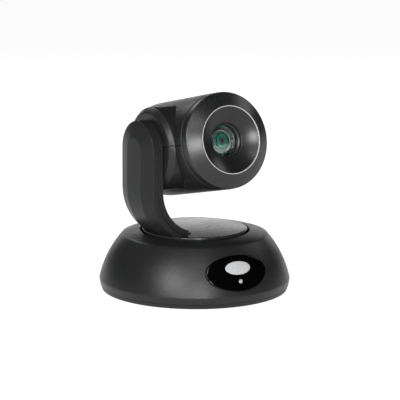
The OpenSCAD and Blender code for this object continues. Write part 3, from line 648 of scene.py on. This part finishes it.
def arm_body(name, outline, upper=None):
    """Sweeps an outline of (inset, distance) points along the arm's edge, or upper above the cover."""
    rows = [[arm_point(u, v, (upper or outline)[i][1] if v > cover_top else d)
             for u, v in arm_stations(inset, upper is not None)] for i, (inset, d) in enumerate(outline)]
    count = len(rows[0])
    faces = grid_faces(len(rows), count)
    foot = [i * count for i in range(len(rows))] + [i * count + count - 1 for i in reversed(range(len(rows)))]
    faces.append(tuple(foot))
    return build(name, [p for row in rows for p in row], faces, PAN_FRAME)


def make_arm():
    half, facet = arm_w, arm_out + facet_t
    seam_chamfer = 0.7
    face = [(0.0, arm_out), (half - facet_w, facet), (half, facet)]
    shell = [(half, arm_seam), (seam_chamfer, arm_seam), (0.0, arm_seam + seam_chamfer), (0.0, arm_seam + 1.0)]
    shell = soften(shell + face, {4: 0.9, 5: 1.2}, 5, closed=False)
    # Above the cover the casing is as thick as the two halves together
    thicker = arm_seam - arm_in
    upper = [(inset, d - thicker if d < arm_seam + 0.8 else d) for inset, d in shell]
    outer = arm_body("arm_casing", shell, upper)
    finished(outer, ARM_PLASTIC, "pan", "arm_shell", slot="shell")

    cover_inset, cover_seam = 0.25, arm_seam - 0.1
    cover = [(half, cover_seam), (0.9, cover_seam), (cover_inset, arm_seam - 0.75), (cover_inset, arm_in),
             (half, arm_in)]
    inner = arm_body("arm_inner_cover", soften(cover, {3: 0.8}, 4, closed=False))
    finished(inner, ARM_PLASTIC, "pan", "arm_cover", slot="shell")

    side, step_out, step_in, step_t = arm_w - 3, 27, 20, 1.2
    step = block("arm_foot_step", (-step_out, -side, disc_h - 0.5), (-step_in, side, disc_h + step_t),
                 PAN_FRAME)
    edge_bevel(step, 0.4, 35, 3)
    finished(step, ARM_PLASTIC, "pan", slot="shell")


# ------------------------------------------------------------------ head

def barrel_profile(inset):
    """The barrel's outline from the middle of its rear round to its wall."""
    rear = arc((barrel_r - rear_round, inset - barrel_rear), (barrel_r - inset, rear_round - barrel_rear),
               rear_round - inset, 14)
    wall = [(barrel_r - inset, z) for z in (-25, -10, 5, 20, 35)]
    return [(0, inset - barrel_rear)] + rear + wall


def recess_tool(grow):
    """The recess round the boss, larger by grow: round in front, open at the rear and on the arm's side."""
    place = (TILT_FRAME @ Matrix.Translation((grow - recess_x, 0, 0)) @ Matrix.Rotation(-recess_slope, 4, "Z")
             @ Matrix.Rotation(math.radians(-90), 4, "Y"))
    radius, steps, depth, reach = recess_r + grow, 160, 60, 80
    half = radius - 2
    corner = math.atan2(math.sqrt(radius ** 2 - half ** 2), half)
    turns = [math.pi - corner + (math.pi + 2 * corner) * k / steps for k in range(steps + 1)]
    ring = [(radius * math.cos(a), radius * math.sin(a)) for a in turns]
    ring += [(half, reach), (-half, reach)]
    count = len(ring)
    points = [(x, y, z) for z in (0, depth) for x, y in ring]
    return build("recess_tool", points, prism_faces(count), place)


def boss_tool():
    low = recess_x - 8
    outline = [(0, low), (boss_r, low), (boss_r, boss_side_x), (boss_r - boss_bevel, boss_x), (0, boss_x)]
    return lathe("boss_tool", soften(outline, {2: 1.2, 3: 1.2}, closed=False), BOSS_FRAME, 180)


def make_head():
    front = [(barrel_r, barrel_front - 0.5), (barrel_r - 0.5, barrel_front), (0, barrel_front)]
    shell = lathe("head_solid", barrel_profile(0) + front, LENS_FRAME, 240)
    boolean(shell, recess_tool(0))
    boolean(shell, boss_tool(), "UNION")
    open_end = [(barrel_r - head_wall, barrel_front + 1), (0, barrel_front + 1)]
    hollow = lathe("head_hollow", barrel_profile(head_wall) + open_end, LENS_FRAME, 120)
    boolean(hollow, recess_tool(head_wall))
    boolean(shell, hollow)
    hole_r, hole_start, hole_end = 11, 36, 60
    hole = [(0, hole_start), (hole_r, hole_start), (hole_r, hole_end), (0, hole_end)]
    boolean(shell, lathe("shaft_hole", hole, BOSS_FRAME, 64))
    # The parting line between the two shells
    lower = shell.copy()
    lower.data = shell.data.copy()
    bpy.context.scene.collection.objects.link(lower)
    half_gap, reach = 0.14, 80
    boolean(shell, block("half", (-reach, -reach, -reach), (reach, reach, half_gap), TILT_FRAME))
    boolean(lower, block("half", (-reach, -reach, -half_gap), (reach, reach, reach), TILT_FRAME))
    shell.name, lower.name = "head_upper_casing", "head_lower_casing"
    for casing in (shell, lower):
        edge_bevel(casing, 0.35, 40)
    finished(shell, CHARCOAL, "head", "head_upper_shell", slot="shell")
    finished(lower, CHARCOAL, "head", "head_lower_shell", slot="shell")


def make_bezel():
    neck, gap_front = barrel_r - head_wall - 0.1, barrel_front + 0.7
    outline = [(neck, barrel_front - 5), (neck, gap_front), (barrel_r, gap_front),
               (bezel_r, bezel_front), (lip_r + 0.6, lip_front - 0.25), (lip_r - 0.1, lip_front),
               (lip_r - 0.7, lip_front - 0.25), (lip_r - 0.8, lip_front - 3), (bezel_r - 3, bezel_front - 2),
               (neck - 2, barrel_front - 5)]
    rounds = {2: 0.5, 3: 0.9, 4: 0.3, 5: 0.35, 6: 0.3}
    bezel = lathe("bezel", soften(outline, rounds), LENS_FRAME)
    finished(bezel, BEZEL_PLASTIC, "head", "bezel_ring", slot="shell")

    trim = [(lip_r + 0.3, lip_front - 0.5), (lip_r + 0.2, lip_front - 0.02), (lip_r - 0.15, lip_front + 0.15),
            (lip_r - 0.6, lip_front - 0.05), (lip_r - 0.75, lip_front - 0.6)]
    # The lip's light grey is a painted highlight
    lip = lathe("bezel_lip", soften(trim, {1: 0.2, 2: 0.3, 3: 0.2}), LENS_FRAME)
    finished(lip, LIP_PAINTED_HIGHLIGHT, "head", slot="shell")

    rim, curve_r = lip_r - 0.9, 60
    foot_r, foot = opening_r + 2.2, opening_front - 1.2
    cone = arc((opening_r, opening_front), (rim, lip_front - 0.9), curve_r, 14)
    outline = cone + [(rim, lip_front - 2.8), (foot_r, opening_front - 0.2), (foot_r, foot), (opening_r, foot)]
    funnel = lathe("funnel", soften(outline, {0: 0.5}), LENS_FRAME)
    finished(funnel, FUNNEL_PLASTIC, "head", "lens_funnel", slot="funnel")


def lens_piece(name, outline, material, node=None, slot="glass"):
    """A turned piece of the lens, with its place across the lens kept in a UV map."""
    piece = lathe(name, outline, LENS_FRAME, 128)
    inverse = LENS_FRAME.inverted()
    layer = piece.data.uv_layers.new(name="across")
    for loop in piece.data.loops:
        spot = inverse @ (piece.data.vertices[loop.vertex_index].co / MM)
        layer.data[loop.index].uv = (0.5 + spot.x / (2 * glass_r), 0.5 + spot.y / (2 * glass_r))
    finished(piece, material, "head", *([node] if node else []), slot=slot)


def make_lens():
    def dome(radius, front, sag):
        """A shallow dome's outline from its edge to its middle."""
        count = 20
        return [(radius * k / count, front - sag * (k / count) ** 2) for k in range(count, -1, -1)]

    outer, inner, sag = glass_r - 0.1, 10.0, 3.4
    rim, deep = glass_front - sag, glass_front - 7.6
    glass = dome(outer, glass_front, sag) + dome(outer, glass_front - 1.3, sag)[::-1]
    lens_piece("front_element", glass, GLASS, "front_glass")
    # The coated elements carry painted reflections in their colour rings
    cone_r = outer - 0.2
    cone = [(inner, deep), (cone_r, rim - 1.6), (cone_r, rim - 2.2), (inner, deep - 0.25)]
    lens_piece("second_element", cone, COATED_RINGS_PAINTED_REFLECTION)
    third_r, third_back = inner - 0.3, deep - 0.3
    third = [(0, third_back), (third_r, third_back)] + dome(third_r, deep + 2.2, 2.4)
    lens_piece("third_element", third, COATED_PAINTED_REFLECTION)
    # The third element's edge ring is a painted highlight
    edge_in, edge_out = inner - 0.5, inner + 0.2
    edge = [(edge_in, deep - 0.2), (edge_out, deep - 0.2), (edge_out, deep + 0.2), (inner - 0.15, deep + 0.6),
            (edge_in, deep + 0.2)]
    lens_piece("third_element_edge", edge, EDGE_PAINTED_HIGHLIGHT)

    rear, ring_r, ring_front = glass_front - 5, 15.9, glass_front + 0.8
    ring = [(ring_r, rear), (ring_r, ring_front), (15.2, ring_front), (14.6, glass_front + 0.2),
            (14.0, glass_front - 0.6), (glass_r, glass_front - 2.6), (glass_r, rear)]
    lens_piece("retainer_ring", soften(ring, {2: 0.2, 4: 0.3}), BLACK_PLASTIC, "lens_retainer", "funnel")
    cell_in, cell_wall_r, cell_back = inner + 0.4, glass_r - 0.2, deep - 0.4
    cell = [(cell_in, cell_back), (glass_r, cell_back), (glass_r, rear), (cell_wall_r, rear),
            (cell_wall_r, deep + 0.3), (cell_in, deep - 0.1)]
    lens_piece("element_cell", cell, BLACK_PLASTIC, slot="funnel")


make_camera()
make_studio()
paint_cad_nodes()
make_base()
make_window()
make_turntable()
make_arm()
make_head()
make_bezel()
make_lens()
